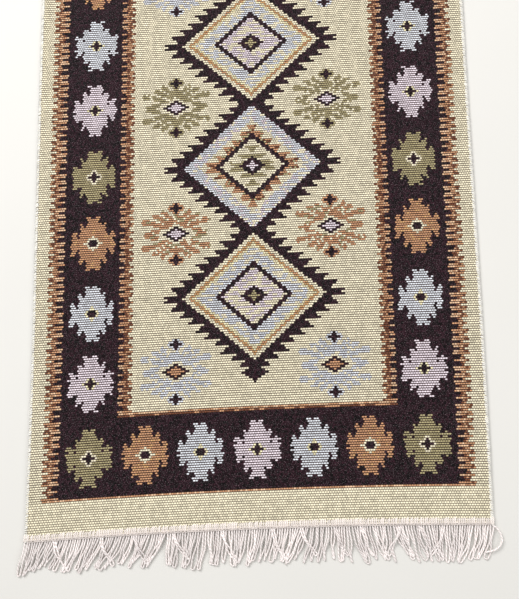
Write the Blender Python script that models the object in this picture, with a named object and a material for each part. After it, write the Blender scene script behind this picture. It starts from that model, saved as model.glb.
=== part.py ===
"""Woven kilim table runner with overlocked edges and a twisted-cord fringe at both ends.

Units are metres and +Z is up. The runner lies flat on its back face at z = 0, with its length
along Y and its width along X, and the origin under its middle. The cloth is modelled in three
lengths that meet at the two lines where it bends over a table's edges. The back end is the
front end turned half round about Z, so both ends are built by the same functions.
"""

import math

import bmesh
import bpy
from mathutils import Vector

# ---- driving dimensions -------------------------------------------------------------------
RUNNER_WIDTH = 0.400        # over the two overlocked edges
RUNNER_LENGTH = 1.840       # over the two fringe headings, without the fringe
CLOTH_THICKNESS = 0.0024    # double-faced weave
DROP_LENGTH = 0.200         # the end that hangs over a table's edge, heading included

OVERLOCK_WIDTH = 0.0035     # the yarn wrapped over each long edge
OVERLOCK_LOFT = 0.0004      # how far the wrapping stands above the cloth
OVERLOCK_WALL = 0.0014      # yarn outside the cloth's own edge
WRAP_THICKNESS = 0.0004     # yarn under the cloth's edge

HEADING_DEPTH = 0.0070      # the head of the fringe, overcast on the cloth's end
HEADING_LOFT = 0.0006       # how far it stands above the cloth
HEADING_WALL = 0.0024       # heading beyond the cloth's own end

STITCH_WIDTH = 0.0010       # the line of chain stitch along the heading
STITCH_INSET = 0.0018       # from its middle to the heading's outer edge
STITCH_HEIGHT = 0.0006
STITCH_SUNK = 0.0003        # how far its lower part is pulled into the heading
STITCH_MARGIN = 0.0040      # from each end of the stitching to the runner's edge

FRINGE_LENGTH = 0.0330      # from the heading to the tips
TUFTS_PER_END = 23          # groups that the fringe's cords gather into
TUFT_THICKNESS = 0.0026
TUFT_SPACE = 0.0006         # between two tufts at the heading
TUFT_TIP_SHARE = 0.60       # a tuft's width near its tip, as a share of its width at the heading

SEAM_GAP = 0.0003           # clearance between pieces that touch

# How far the tips lie to the right of their roots, at places across the width (0 left, 1 right).
TIP_LEAN = (
    (0.00, -0.011), (0.20, -0.012), (0.30, -0.005), (0.38, -0.004), (0.50, -0.007),
    (0.62, -0.010), (0.68, 0.004), (0.80, 0.005), (0.87, 0.003), (0.93, -0.003), (1.00, -0.005),
)

# ---- values worked out from them ----------------------------------------------------------
HALF_WIDTH = RUNNER_WIDTH / 2
FOLD_Y = RUNNER_LENGTH / 2 - DROP_LENGTH
SLOT_TOP = CLOTH_THICKNESS - WRAP_THICKNESS
TONGUE_BOTTOM = WRAP_THICKNESS + SEAM_GAP
TONGUE_TOP = SLOT_TOP - SEAM_GAP
TONGUE_HALF_WIDTH = HALF_WIDTH - OVERLOCK_WALL - SEAM_GAP
CORE_HALF_WIDTH = HALF_WIDTH - OVERLOCK_WIDTH - SEAM_GAP
OVERLOCK_THICKNESS = CLOTH_THICKNESS + OVERLOCK_LOFT
HEADING_THICKNESS = CLOTH_THICKNESS + HEADING_LOFT


def clear_scene():
    for thing in list(bpy.data.objects):
        bpy.data.objects.remove(thing, do_unlink=True)


def fabric(name, colour, roughness):
    """A plain fabric finish."""
    material = bpy.data.materials.new(name)
    material.use_nodes = True
    shader = material.node_tree.nodes["Principled BSDF"]
    shader.inputs["Base Color"].default_value = (*colour, 1.0)
    shader.inputs["Roughness"].default_value = roughness
    shader.inputs["Metallic"].default_value = 0.0
    return material


def place(name, mesh, material, parent):
    mesh.materials.append(material)
    thing = bpy.data.objects.new(name, mesh)
    thing.parent = parent
    bpy.context.scene.collection.objects.link(thing)
    return thing


def finish_mesh(name, shape):
    """The bmesh as a mesh whose faces point outwards."""
    bmesh.ops.recalc_face_normals(shape, faces=shape.faces[:])
    mesh = bpy.data.meshes.new(name)
    shape.to_mesh(mesh)
    shape.free()
    return mesh


def box_mesh(name, low, high):
    shape = bmesh.new()
    bmesh.ops.create_cube(shape, size=1.0)
    low, high = Vector(low), Vector(high)
    size = high - low
    bmesh.ops.scale(shape, vec=size, verts=shape.verts[:])
    bmesh.ops.translate(shape, vec=low + size / 2, verts=shape.verts[:])
    return finish_mesh(name, shape)


def helper_box(name, low, high, parent):
    """A box that only shapes another piece."""
    helper = bpy.data.objects.new(name, box_mesh(name, low, high))
    helper.parent = parent
    helper.hide_render = True
    helper.display_type = "WIRE"
    bpy.context.scene.collection.objects.link(helper)
    return helper


def shape_with(thing, helper, operation):
    step = thing.modifiers.new(helper.name, "BOOLEAN")
    step.operation = operation
    step.solver = "EXACT"
    step.object = helper


def round_edges(thing, width, segments):
    step = thing.modifiers.new("Rounded", "BEVEL")
    step.width = width
    step.segments = segments
    step.limit_method = "ANGLE"
    step.angle_limit = math.radians(40)


def hinge_empty(name, place_at, turn, parent=None):
    """An empty on a bending line. Its local -Y points out towards the runner's end."""
    empty = bpy.data.objects.new(name, None)
    empty.location = place_at
    empty.rotation_euler = (0.0, 0.0, turn)
    empty.parent = parent
    bpy.context.scene.collection.objects.link(empty)
    return empty


# ---- the cloth: a full-thickness body with a thin tongue that the edgings wrap -------------
def cloth_section(name, core_ends, tongue_ends, parent):
    """core_ends and tongue_ends are the (low, high) reach along Y of the body and its tongue."""
    core = box_mesh(
        name,
        (-CORE_HALF_WIDTH, core_ends[0], 0.0),
        (CORE_HALF_WIDTH, core_ends[1], CLOTH_THICKNESS),
    )
    section = place(name, core, CLOTH, parent)
    tongue = helper_box(
        name + "_tongue",
        (-TONGUE_HALF_WIDTH, tongue_ends[0], TONGUE_BOTTOM),
        (TONGUE_HALF_WIDTH, tongue_ends[1], TONGUE_TOP),
        parent,
    )
    shape_with(section, tongue, "UNION")


# ---- overlocked edge: yarn wrapped over, round and under the cloth's edge ------------------
def arc(centre_x, centre_z, radius, start, stop, steps):
    """Points of an arc in the X-Z plane, angles in degrees from +X towards +Z."""
    points = []
    for i in range(steps + 1):
        angle = math.radians(start + (stop - start) * i / steps)
        points.append((centre_x + radius * math.cos(angle), centre_z + radius * math.sin(angle)))
    return points


def overlock_profile():
    """The wrapping cut across, for the edge at +X: a C that opens towards the cloth."""
    inner = HALF_WIDTH - OVERLOCK_WIDTH
    slot_end = HALF_WIDTH - OVERLOCK_WALL
    radius = OVERLOCK_THICKNESS / 3
    outer = HALF_WIDTH - radius
    points = [(inner, 0.0)]
    points += arc(outer, radius, radius, -90, 0, 4)
    points += arc(outer, OVERLOCK_THICKNESS - radius, radius, 0, 90, 4)
    points += [(inner, OVERLOCK_THICKNESS), (inner, SLOT_TOP)]
    points += [(slot_end, SLOT_TOP), (slot_end, WRAP_THICKNESS), (inner, WRAP_THICKNESS)]
    return points


def overlock(name, side, ends, parent):
    """side is 1 for the +X edge and -1 for the -X edge; ends is its reach along Y."""
    shape = bmesh.new()
    ring = [shape.verts.new((side * x, ends[0], z)) for x, z in overlock_profile()]
    cap = shape.faces.new(ring)
    swept = bmesh.ops.extrude_face_region(shape, geom=[cap])
    moved = [item for item in swept["geom"] if isinstance(item, bmesh.types.BMVert)]
    bmesh.ops.translate(shape, vec=(0.0, ends[1] - ends[0], 0.0), verts=moved)
    wrapping = place(name, finish_mesh(name, shape), OVERLOCK, parent)
    wrapping.data.shade_smooth()
    wrapping.data.set_sharp_from_angle(angle=math.radians(40))


# ---- fringe heading: a narrow band over the cloth's end, with a line of stitches along it ---
def heading(name, parent):
    outer = -DROP_LENGTH
    inner = outer + HEADING_DEPTH
    band = place(
        name,
        box_mesh(name, (-HALF_WIDTH, outer, 0.0), (HALF_WIDTH, inner, HEADING_THICKNESS)),
        HEADING,
        parent,
    )
    round_edges(band, HEADING_LOFT, 2)
    slot = helper_box(
        name + "_slot",
        (-HALF_WIDTH + OVERLOCK_WALL, outer + HEADING_WALL, WRAP_THICKNESS),
        (HALF_WIDTH - OVERLOCK_WALL, inner + HEADING_DEPTH, SLOT_TOP),
        parent,
    )
    shape_with(band, slot, "DIFFERENCE")
    reach = HALF_WIDTH - STITCH_MARGIN + SEAM_GAP
    half_groove = STITCH_WIDTH / 2 + SEAM_GAP
    middle = outer + STITCH_INSET
    groove = helper_box(
        name + "_groove",
        (-reach, middle - half_groove, HEADING_THICKNESS - STITCH_SUNK - SEAM_GAP),
        (reach, middle + half_groove, 2 * HEADING_THICKNESS),
        parent,
    )
    shape_with(band, groove, "DIFFERENCE")


def heading_stitch(name, parent):
    reach = HALF_WIDTH - STITCH_MARGIN
    middle = -DROP_LENGTH + STITCH_INSET
    low = HEADING_THICKNESS - STITCH_SUNK
    line = box_mesh(
        name,
        (-reach, middle - STITCH_WIDTH / 2, low),
        (reach, middle + STITCH_WIDTH / 2, low + STITCH_HEIGHT),
    )
    round_edges(place(name, line, THREAD, parent), STITCH_HEIGHT / 4, 1)


# ---- fringe: tapering tufts of cords that lie out from the heading -------------------------
def tip_lean(across):
    """The lean between the two listed places on either side."""
    for (left, first), (right, second) in zip(TIP_LEAN, TIP_LEAN[1:]):
        if across <= right:
            return first + (second - first) * (across - left) / (right - left)
    return TIP_LEAN[-1][1]


def tuft(name, number, parent):
    """A flat-bottomed bundle, rounded on top, that narrows and leans towards its tip."""
    across = (number + 0.5) / TUFTS_PER_END
    pitch = RUNNER_WIDTH / TUFTS_PER_END
    root_x = -HALF_WIDTH + RUNNER_WIDTH * across
    lean = tip_lean(across)
    root_half = (pitch - TUFT_SPACE) / 2
    shape = bmesh.new()
    rings = []
    for along in (0.0, 0.2, 0.4, 0.6, 0.8, 0.94, 1.0):
        rounding = 1.0 if along < 0.9 else math.sqrt(1.0 - ((along - 0.9) / 0.12) ** 2)
        half = root_half * (1.0 - (1.0 - TUFT_TIP_SHARE) * along**1.3) * rounding
        height = TUFT_THICKNESS * (1.0 - 0.25 * along) * (0.5 + 0.5 * rounding)
        centre = root_x + lean * (0.3 * along + 0.7 * along**2)
        y = -SEAM_GAP - (FRINGE_LENGTH - SEAM_GAP) * along
        ring = [shape.verts.new((centre - half, y, 0.0)), shape.verts.new((centre + half, y, 0.0))]
        for turn in (20, 60, 90, 120, 160):
            angle = math.radians(turn)
            x = centre + half * math.cos(angle)
            ring.append(shape.verts.new((x, y, height * math.sin(angle))))
        rings.append(ring)
    for near, far in zip(rings, rings[1:]):
        for i in range(len(near)):
            j = (i + 1) % len(near)
            shape.faces.new((near[i], near[j], far[j], far[i]))
    shape.faces.new(rings[0])
    shape.faces.new(rings[-1])
    bundle = place(name, finish_mesh(name, shape), FRINGE, parent)
    bundle.data.shade_smooth()
    bundle.data.set_sharp_from_angle(angle=math.radians(50))


# ---- one end of the runner ------------------------------------------------------------------
def runner_end(end, turn):
    """end is "front" or "back"; turn is the half turn that makes the back end."""
    sign = -1 if end == "front" else 1
    fold = hinge_empty(end + "_fold_line", (0.0, sign * FOLD_Y, 0.0), turn)
    start = -SEAM_GAP / 2
    heading_inner = -DROP_LENGTH + HEADING_DEPTH
    tongue_tip = -DROP_LENGTH + HEADING_WALL + SEAM_GAP
    cloth_section(
        end + "_cloth",
        (heading_inner + SEAM_GAP, start),
        (tongue_tip, start),
        fold,
    )
    for side, local in (("left", -1), ("right", 1)):
        overlock(
            f"{end}_{side}_overlock",
            local if end == "front" else -local,
            (heading_inner + SEAM_GAP, start),
            fold,
        )
    heading(end + "_heading", fold)
    heading_stitch(end + "_heading_stitch", fold)
    root = hinge_empty(end + "_fringe_line", (0.0, -DROP_LENGTH, 0.0), 0.0, fold)
    for number in range(TUFTS_PER_END):
        tuft(f"{end}_tuft_{number + 1:02d}", number, root)


def middle_length():
    """The part of the runner that lies on the table."""
    reach = FOLD_Y - SEAM_GAP / 2
    cloth_section("middle_cloth", (-reach, reach), (-reach, reach), None)
    overlock("middle_left_overlock", -1, (-reach, reach), None)
    overlock("middle_right_overlock", 1, (-reach, reach), None)


clear_scene()
CLOTH = fabric("kilim_cloth", (0.10, 0.05, 0.05), 0.92)
OVERLOCK = fabric("overlock_yarn", (0.72, 0.69, 0.60), 0.90)
HEADING = fabric("heading_weave", (0.80, 0.74, 0.70), 0.90)
THREAD = fabric("chain_stitch_thread", (0.85, 0.80, 0.77), 0.85)
FRINGE = fabric("fringe_cotton", (0.82, 0.74, 0.71), 0.92)
middle_length()
runner_end("front", 0.0)
runner_end("back", math.pi)
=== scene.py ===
# %% [markdown]
# # A woven table runner
# The runner is one strip of double-faced jacquard cloth in a kilim design. Its two long edges are
# overlocked with white yarn, and each short end is closed by a narrow overcast heading, from which
# a fringe of twisted cotton cords comes out. The measured model gives every size and place, and this
# script weaves, stitches and fringes the runner on top of it.

# %% The measured model
import math

import bpy
import numpy as np
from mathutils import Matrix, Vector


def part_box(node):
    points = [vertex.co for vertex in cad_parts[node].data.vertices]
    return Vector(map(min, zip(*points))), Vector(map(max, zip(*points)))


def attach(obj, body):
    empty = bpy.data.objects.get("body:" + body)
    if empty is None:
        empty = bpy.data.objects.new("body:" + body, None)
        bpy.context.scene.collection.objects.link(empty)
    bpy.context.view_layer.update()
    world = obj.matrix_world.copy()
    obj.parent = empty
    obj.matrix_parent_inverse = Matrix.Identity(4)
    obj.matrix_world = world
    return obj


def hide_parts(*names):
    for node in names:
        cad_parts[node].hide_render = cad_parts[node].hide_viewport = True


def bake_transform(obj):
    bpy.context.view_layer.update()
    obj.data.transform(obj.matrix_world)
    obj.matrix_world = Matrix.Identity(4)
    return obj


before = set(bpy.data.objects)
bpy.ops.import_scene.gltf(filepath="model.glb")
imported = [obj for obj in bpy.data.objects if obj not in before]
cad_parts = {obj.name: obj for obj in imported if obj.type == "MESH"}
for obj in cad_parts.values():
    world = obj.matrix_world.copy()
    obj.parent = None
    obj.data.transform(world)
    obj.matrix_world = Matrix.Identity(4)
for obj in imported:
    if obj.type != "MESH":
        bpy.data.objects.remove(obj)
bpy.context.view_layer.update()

# %% [markdown]
# ## Sizes
# All places come from the model's own boxes: the outer faces of the overlocked edges give the
# width, the outer faces of the headings give the length, and the joints give the two lines where
# the runner bends over a table's edges. The cloth on its own is a little thinner than its edgings.

# %% Sizes from the model
MM = 0.001
edge_low, edge_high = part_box("middle_left_overlock")
HALF_WIDTH = -edge_low.x
OVERLOCK_TOP = edge_high.z
OVERLOCK_WIDTH = edge_high.x - edge_low.x
heading_low, heading_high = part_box("front_heading")
HALF_LENGTH = -heading_low.y
HEADING_DEPTH = heading_high.y - heading_low.y
HEADING_TOP = heading_high.z
CLOTH_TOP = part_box("middle_cloth")[1].z
FRINGE_LENGTH = -HALF_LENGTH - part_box("front_tuft_12")[0].y
print(f"runner {2000 * HALF_WIDTH:.0f} x {2000 * HALF_LENGTH:.0f} mm, cloth {1000 * CLOTH_TOP:.1f} mm")

# %% [markdown]
# ## Camera
# The camera looks almost straight down on the front half of the runner, as someone sees it who
# stands at its front end. A lens of about 39 mm on a 36 mm sensor, 0.58 m up, takes in a little
# more than the runner's width.

# %% Camera
LENS_MM, SENSOR_MM = 39.06, 36.0
CAMERA_PLACE = (0.0115, -0.801, 0.5756)
CAMERA_TURN = (7.76, 0.89, -0.83)

lens = bpy.data.cameras.new("camera")
lens.lens = LENS_MM
lens.sensor_width = SENSOR_MM
lens.clip_start = 0.01
camera = bpy.data.objects.new("camera", lens)
camera.location = CAMERA_PLACE
camera.rotation_euler = [math.radians(angle) for angle in CAMERA_TURN]
bpy.context.scene.collection.objects.link(camera)
bpy.context.scene.camera = camera
print("camera at", [round(value, 3) for value in camera.location])

# %% [markdown]
# ## Two helpers
# Colours are written as the hex values that a paint chart gives, and a shader wants them linear,
# so one function converts them. The other adds one node to a tree, with its settings and with
# what its sockets hold: a plain value, or another node's output, which makes a link.

# %% Helpers
def linear(colour):
    """A hex colour such as "#d8cfae" as four linear values."""
    parts = [int(colour[i:i + 2], 16) / 255 for i in (1, 3, 5)]
    return [p / 12.92 if p <= 0.04045 else ((p + 0.055) / 1.055) ** 2.4 for p in parts] + [1.0]


def add(tree, kind, settings=None, sockets=None):
    """A new node. settings are its own properties; sockets are values or links for its inputs."""
    node = tree.nodes.new(kind)
    for name, value in (settings or {}).items():
        setattr(node, name, value)
    for name, value in (sockets or {}).items():
        if isinstance(value, bpy.types.NodeSocket):
            tree.links.new(value, node.inputs[name])
        else:
            node.inputs[name].default_value = value
    return node


print("cream yarn, linear:", [round(value, 3) for value in linear("#fbf2d2")])

# %% [markdown]
# ## Floor and light
# The runner lies on a plain pale floor. One large soft lamp above and to the left gives the
# weave its small shadows, a weaker one fills from the right, and a light grey world keeps the
# shadows open.

# %% Floor
floor_paint = bpy.data.materials.new("matt_painted_floor")
floor_paint.use_nodes = True
tree = floor_paint.node_tree
shader = tree.nodes["Principled BSDF"]
shader.inputs["Roughness"].default_value = 0.85
place = add(tree, "ShaderNodeTexCoord")
mottle = add(tree, "ShaderNodeTexNoise", {}, {
    "Vector": place.outputs["Object"], "Scale": 3.0, "Detail": 4.0,
})
shade = add(tree, "ShaderNodeMix", {"data_type": "RGBA"}, {
    0: mottle.outputs["Fac"], 6: linear("#d3d1cc"), 7: linear("#dbd9d4"),
})
tree.links.new(shade.outputs[2], shader.inputs["Base Color"])

FLOOR_REACH = 4.0
corners = [(x * FLOOR_REACH, y * FLOOR_REACH, 0) for x, y in ((-1, -1), (1, -1), (1, 1), (-1, 1))]
floor_mesh = bpy.data.meshes.new("floor")
floor_mesh.from_pydata(corners, [], [(0, 1, 2, 3)])
floor_mesh.materials.append(floor_paint)
floor = bpy.data.objects.new("floor", floor_mesh)
bpy.context.scene.collection.objects.link(floor)
print("floor", 2 * FLOOR_REACH, "m square")

# %% Light
WORLD_GREY, WORLD_STRENGTH = "#f4f4f4", 0.58
LAMPS = (
    ("key", (-1.1, 0.5, 1.7), 1.2, 52.0),
    ("fill", (1.3, -0.7, 1.6), 1.6, 14.0),
)

world = bpy.data.worlds.new("studio")
world.use_nodes = True
background = world.node_tree.nodes["Background"]
background.inputs["Color"].default_value = linear(WORLD_GREY)
background.inputs["Strength"].default_value = WORLD_STRENGTH
bpy.context.scene.world = world
bpy.context.scene.view_settings.view_transform = "Standard"
for name, spot, size, power in LAMPS:
    lamp = bpy.data.lights.new(name, "AREA")
    lamp.size = size
    lamp.energy = power
    holder = bpy.data.objects.new(name, lamp)
    holder.location = spot
    aim = -holder.location
    holder.rotation_euler = aim.to_track_quat("-Z", "Y").to_euler()
    bpy.context.scene.collection.objects.link(holder)
    print(name, "lamp,", power, "W")

# %% [markdown]
# ## The point paper
# A jacquard cloth is designed on squared paper, one square for each place where a warp end and a
# weft pick cross. The coloured weft passes over two ends at a time, and the next pick is shifted
# by one end, so every slanted outline comes out in small ragged steps. Here the paper is an array
# of yarn numbers, 364 ends wide and 920 picks long, and each motif is painted on it by a rule.
# Drawing it this way, and not as a smooth picture, gives the outlines of real weaving.

# %% Squared paper
ENDS, PICKS = 364, 920
HALF_WIDTH_MM = 1000 * HALF_WIDTH
# A half float at either edge counts as this far inside it.
SELVEDGE_MM = 0.5
END_MM = 2000 * HALF_WIDTH / ENDS
PICK_MM = 2000 * HALF_LENGTH / PICKS
CREAM, MAROON, TERRACOTTA, OLIVE, SILVER, LAVENDER, GOLD, STRAW, TAN, UMBER = range(10)

chance = np.random.default_rng(7)
pick = np.arange(PICKS)[:, None]
end = np.arange(ENDS)[None, :]
float_number = (end + pick % 2) // 2
across = (2 * float_number - pick % 2 + 1) * END_MM - HALF_WIDTH_MM
across = np.clip(across, -HALF_WIDTH_MM + SELVEDGE_MM, HALF_WIDTH_MM - SELVEDGE_MM)
from_edge = HALF_WIDTH_MM - np.abs(across)
from_end = np.minimum(pick, PICKS - 1 - pick)
paper = np.full((PICKS, ENDS), CREAM)


def paint(where, yarn):
    """Fills squares of the paper with a yarn, or with the yarns of another array."""
    paper[...] = np.where(where, yarn, paper)


print(f"one end {END_MM:.2f} mm, one pick {PICK_MM:.2f} mm")

# %% [markdown]
# Some areas are shaded by mixing two yarns in short dashes, as melange areas are on the real
# cloth. One random number for every two floats decides which yarn shows in them. Where the mix
# is finer, every single float has a number of its own.

# %% Mixing yarns
runs = chance.random((PICKS, ENDS // 4 + 3))
run_shift = chance.integers(0, 2, (PICKS, 1))
dash = np.take_along_axis(runs, (float_number + run_shift) // 2, 1)
single = np.take_along_axis(chance.random((PICKS, ENDS // 2 + 2)), float_number, 1)


def mixed(share, first, second, grain=dash):
    """The first yarn on that share of the dashes, and the second on the others."""
    return np.where(grain < share, first, second)


print("dashes drawn:", runs.size)

# %% [markdown]
# ### Frame
# A dark maroon band runs round the runner, 50 mm wide. Both its long sides are bordered by combs:
# terracotta teeth 6.4 mm apart, five in 16 picks, with maroon showing between them. A thin
# terracotta line closes the band at its outer short side, and a thicker one at its inner side.

# %% Maroon band and combs
FRAME_START, FRAME_INNER = 16, 50
COMB_TIP, COMB_ROOT, BAND_START = 12.8, 18.6, 26.8
BAND_STOP, INNER_ROOT, INNER_TIP = 77.2, 83.0, 89.5
TEETH, TEETH_PICKS, TOOTH_PICKS = 5, 16, 1.7
tooth_phase = (pick * TEETH % TEETH_PICKS) / TEETH
tooth = tooth_phase < TOOTH_PICKS
in_frame = from_end >= FRAME_START
paint(in_frame & (from_edge >= BAND_START) & (from_edge < BAND_STOP), MAROON)
paint((from_end > FRAME_START) & (from_end < FRAME_INNER) & (from_edge >= BAND_START), MAROON)
print("squares in the bare band:", int((paper == MAROON).sum()))

# %% Teeth of the combs
# Each entry: on a tooth or between two, where its yarn starts or stops in mm from the edge, how
# much of it is the first yarn, and the two yarns. A later entry covers an earlier one.
OUTER_COMB = (
    (True, COMB_TIP, 0.55, TERRACOTTA, UMBER),
    (True, COMB_ROOT, 0.65, TERRACOTTA, TAN),
    (True, COMB_ROOT + 3.4, 0.7, TAN, TERRACOTTA),
    (False, COMB_ROOT - 2.0, 0.6, TERRACOTTA, UMBER),
    (False, COMB_ROOT + 1.6, 0.6, MAROON, UMBER),
    (False, COMB_ROOT + 3.8, 1.0, MAROON, MAROON),
)
INNER_COMB = (
    (False, INNER_ROOT + 2.8, 0.35, TERRACOTTA, UMBER),
    (False, INNER_ROOT - 0.6, 1.0, MAROON, MAROON),
    (True, INNER_TIP, 0.5, TERRACOTTA, UMBER),
    (True, INNER_TIP - 2.4, 0.62, TERRACOTTA, UMBER),
    (True, INNER_ROOT - 1.0, 0.4, TAN, TERRACOTTA),
)
outer = in_frame & (from_edge < BAND_START)
for on_tooth, start, share, first, second in OUTER_COMB:
    paint(outer & (tooth == on_tooth) & (from_edge > start), mixed(share, first, second, single))
inner = (from_end >= FRAME_INNER) & (from_edge >= BAND_STOP)
for on_tooth, stop, share, first, second in INNER_COMB:
    paint(inner & (tooth == on_tooth) & (from_edge < stop), mixed(share, first, second, single))
print("teeth along each edge:", PICKS * TEETH // TEETH_PICKS)

# %% Lines that close the band
paint((from_end == FRAME_START) & (from_edge > COMB_TIP), mixed(0.75, TERRACOTTA, TAN, single))
paint((from_end == FRAME_INNER) & (from_edge > BAND_STOP), mixed(0.7, UMBER, TERRACOTTA))
paint((from_end == FRAME_INNER + 1) & (from_edge > BAND_STOP), mixed(0.5, TERRACOTTA, TAN))
print("squares in maroon:", int((paper == MAROON).sum()))

# %% [markdown]
# ### Stars
# The band carries stepped stars, 38 mm wide, whose points end in small notches. Each is written
# as the reach of its yarn, in mm from its middle, on the picks counted from its middle row. A
# maroon eye sits in the middle of each, in a pale ring. Down the sides they follow one another in
# olive, lavender, silver and terracotta, starting from the corners.

# %% Star shape
STAR_STEPS = (
    (0, 2, (0.0, 19.2)),
    (3, 3, (0.0, 12.4)), (3, 3, (13.2, 19.2)),
    (4, 4, (0.0, 12.4)), (4, 4, (14.0, 19.2)),
    (5, 5, (0.0, 12.0)), (5, 5, (16.0, 19.2)),
    (6, 7, (0.0, 12.0)),
    (8, 8, (0.0, 6.4)), (8, 8, (8.0, 12.0)),
    (9, 9, (0.0, 6.0)), (9, 9, (10.0, 12.0)),
    (10, 11, (0.0, 6.0)),
    (12, 12, (1.6, 6.0)),
)


# Half width and half height in mm, and yarn: the ring of a dark star and of a pale one, and the eye.
DARK_STAR_RING = (8.6, 7.6, CREAM)
PALE_STAR_RING = (7.6, 6.6, STRAW)
STAR_EYE = (4.6, 4.2, MAROON)


def beside(middle):
    """How far each float is, in mm, from the thread nearest to that line: alike on both sides."""
    return np.round(np.abs(across - round(middle / END_MM) * END_MM), 6)


def diamond(steps, aside, half_width, half_height):
    """The squares inside a diamond of that reach in mm, where steps counts picks from its middle."""
    return aside / half_width + steps * PICK_MM / half_height < 1


RAGGED_MM = 0.9
ragged = RAGGED_MM * np.random.default_rng(11).integers(-1, 2, (PICKS, 2))


def star(middle, row, yarn):
    """A stepped star with its ring and eye. Here and there a row ends one float early or late."""
    aside = beside(middle)
    steps = np.abs(pick - row)
    rough = aside + np.where(across < middle, ragged[:, :1], ragged[:, 1:])
    filling = mixed(0.88, yarn, GOLD, single) if yarn == TERRACOTTA else yarn
    for first, last, (start, stop) in STAR_STEPS:
        in_rows = (steps >= first) & (steps <= last)
        paint(in_rows & ((rough >= start) | (start == 0)) & (rough < stop), filling)
    ring = DARK_STAR_RING if yarn in (OLIVE, TERRACOTTA) else PALE_STAR_RING
    for half_width, half_height, colour in (ring, STAR_EYE):
        paint(diamond(steps, aside, half_width, half_height), colour)


def at_both_ends(motif, middle, row, *yarns):
    """The same motif on that row and on the row as far from the other end."""
    motif(middle, row, *yarns)
    motif(middle, PICKS - 1 - row, *yarns)


print("a star is", round((2 * STAR_STEPS[-1][1] + 1) * PICK_MM), "mm long")

# %% Stars along the band
STAR_YARNS = (OLIVE, LAVENDER, SILVER, TERRACOTTA)
CROSSWAYS_YARNS = (TERRACOTTA, SILVER, LAVENDER, SILVER, TERRACOTTA)
STAR_COLUMN, STAR_PITCH, FIRST_STAR, SIDE_STARS = 147.0, 31.59, 33, 14
for i in range(SIDE_STARS):
    for middle in (-STAR_COLUMN, STAR_COLUMN):
        at_both_ends(star, middle, round(FIRST_STAR + STAR_PITCH * i), STAR_YARNS[i % 4])
for i, yarn in zip(range(-2, 3), CROSSWAYS_YARNS):
    at_both_ends(star, STAR_COLUMN / 3 * i, FIRST_STAR, yarn)
print("stars:", 4 * SIDE_STARS + 2 * len(CROSSWAYS_YARNS))

# %% [markdown]
# ### Medallions
# Thirteen diamond medallions stand in a row along the middle, tip to tip, in two patterns by
# turns. A maroon border with long daggers joins them. Above a medallion's middle the daggers are
# flat on top and slanted below, and under its middle the other way round.

# %% Rings of the medallions
# Half width and half height of each diamond in mm, and its yarn. The third value of a bladed one
# is its daggers: half width and half height where they start, and how far they reach from there.
RIM_WIDTH, RIM_HEIGHT = 64.0, 57.2
INNER_DIAMOND, EYE_DIAMOND = (34.0, 32.0), (12.0, 9.6)
SILVER_AND_PALE = mixed(0.7, SILVER, mixed(0.5, LAVENDER, CREAM, single))
EARTH_YARNS = mixed(0.66, TERRACOTTA, mixed(0.65, UMBER, OLIVE, single))
PLAIN_RINGS = (
    ((RIM_WIDTH, RIM_HEIGHT), CREAM, None),
    ((58.8, 52.4), mixed(0.8, GOLD, TERRACOTTA), None),
    ((55.0, 48.8), STRAW, None),
    ((51.0, 45.0), mixed(0.72, SILVER, CREAM), None),
    (INNER_DIAMOND, MAROON, None),
    ((28.8, 26.8), mixed(0.55, LAVENDER, CREAM), None),
    (EYE_DIAMOND, MAROON, None),
    ((5.2, 4.4), OLIVE, None),
)
BLADED_RINGS = (
    ((63.0, 58.6), SILVER_AND_PALE, None),
    ((49.0, 44.0), CREAM, None),
    ((46.4, 41.6), EARTH_YARNS, (33.6, 31.6, 13.0)),
    (INNER_DIAMOND, MAROON, None),
    ((28.8, 26.8), CREAM, None),
    ((25.6, 23.2), mixed(0.85, OLIVE, CREAM), (9.6, 8.8, 17.0)),
    (EYE_DIAMOND, MAROON, None),
    ((5.2, 4.4), LAVENDER, None),
)
print("rings:", len(PLAIN_RINGS), "and", len(BLADED_RINGS))

# %% Medallions
MEDALLIONS, MEDALLION_PITCH, FIRST_MEDALLION = 13, 60, 100
MIDLINE = -1.4
BORDER_MM, DAGGER_MM, DAGGER_PICKS, BORDER_ROWS = 6.0, 14.4, 10 / 3, 32
BLADE_PICKS = 3.5


def medallion(row, rings):
    """A maroon border with daggers, and inside it the rings, from the widest inwards."""
    steps = np.abs(pick - row)
    aside = beside(MIDLINE)
    rim = RIM_WIDTH * (1 - steps * PICK_MM / RIM_HEIGHT)
    # How far each pick has got along its dagger, and below along its blade, from 0 to about 1.
    climb = ((steps + 1.4) % DAGGER_PICKS + 0.6) / DAGGER_PICKS
    paint((aside < rim + BORDER_MM + DAGGER_MM * climb) & (steps < BORDER_ROWS), MAROON)
    rise = ((steps + 1.0) % BLADE_PICKS + 0.5) / BLADE_PICKS
    for (half_width, half_height), yarn, blades in rings:
        inside = diamond(steps, aside, half_width, half_height)
        if blades:
            start, start_height, reach = blades
            inside &= aside < start * (1 - steps * PICK_MM / start_height) + reach * rise
        paint(inside, yarn)


for i in range(MEDALLIONS):
    row = FIRST_MEDALLION + MEDALLION_PITCH * i
    medallion(row if row < PICKS / 2 else row - 1, BLADED_RINGS if i % 2 else PLAIN_RINGS)
print("medallions:", MEDALLIONS, "of", 2 * RIM_HEIGHT, "mm")

# %% The small diamond beyond each end of the row
END_DIAMOND_ROW, END_DIAMOND = 66, (11.5, 8.4)
for row in (END_DIAMOND_ROW, PICKS - 1 - END_DIAMOND_ROW):
    paint(diamond(np.abs(pick - row), beside(MIDLINE), *END_DIAMOND), MAROON)
print("squares in maroon now:", int((paper == MAROON).sum()))

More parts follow.
